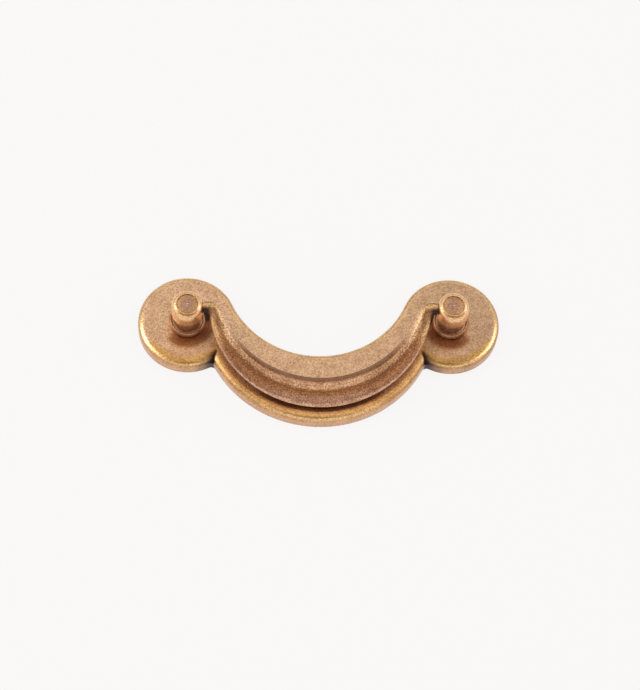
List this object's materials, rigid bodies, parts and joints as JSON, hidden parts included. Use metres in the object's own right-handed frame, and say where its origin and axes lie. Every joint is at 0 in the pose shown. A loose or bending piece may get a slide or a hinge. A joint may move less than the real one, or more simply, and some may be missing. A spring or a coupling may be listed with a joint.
{
  "type": "plate handle",
  "caption": "Drawer pull with a crescent backplate, ball posts at its ends and a moulded crescent bail that swings up to be gripped.",
  "frame": {"origin": "on the back plane of the backplate, midway between the two screw axes", "axes": "+Z out of the drawer front, along the screws; +X along the line of the two screw axes; +Y up the drawer front, so the bail hangs towards -Y"},
  "size_m": [0.1044, 0.0451, 0.0165],
  "materials": {
    "plate_brass": "antique brass, brushed back on the faces and brown in the hollows",
    "post_brass": "antique brass, polished on the crowns and near black under them",
    "bail_brass": "antique brass, darker and browner in the moulding's groove"
  },
  "bodies": {
    "base": {"backplate": "plate_brass", "left_post": "post_brass", "right_post": "post_brass"},
    "handle": {"bail": "bail_brass"}
  },
  "joints": [
    {"name": "bail_swing", "type": "hinge", "parent": "base", "child": "handle", "pos_m": [0, 0, 0.0141], "axis": [-1, 0, 0], "range_deg": [0, 222]}
  ]
}
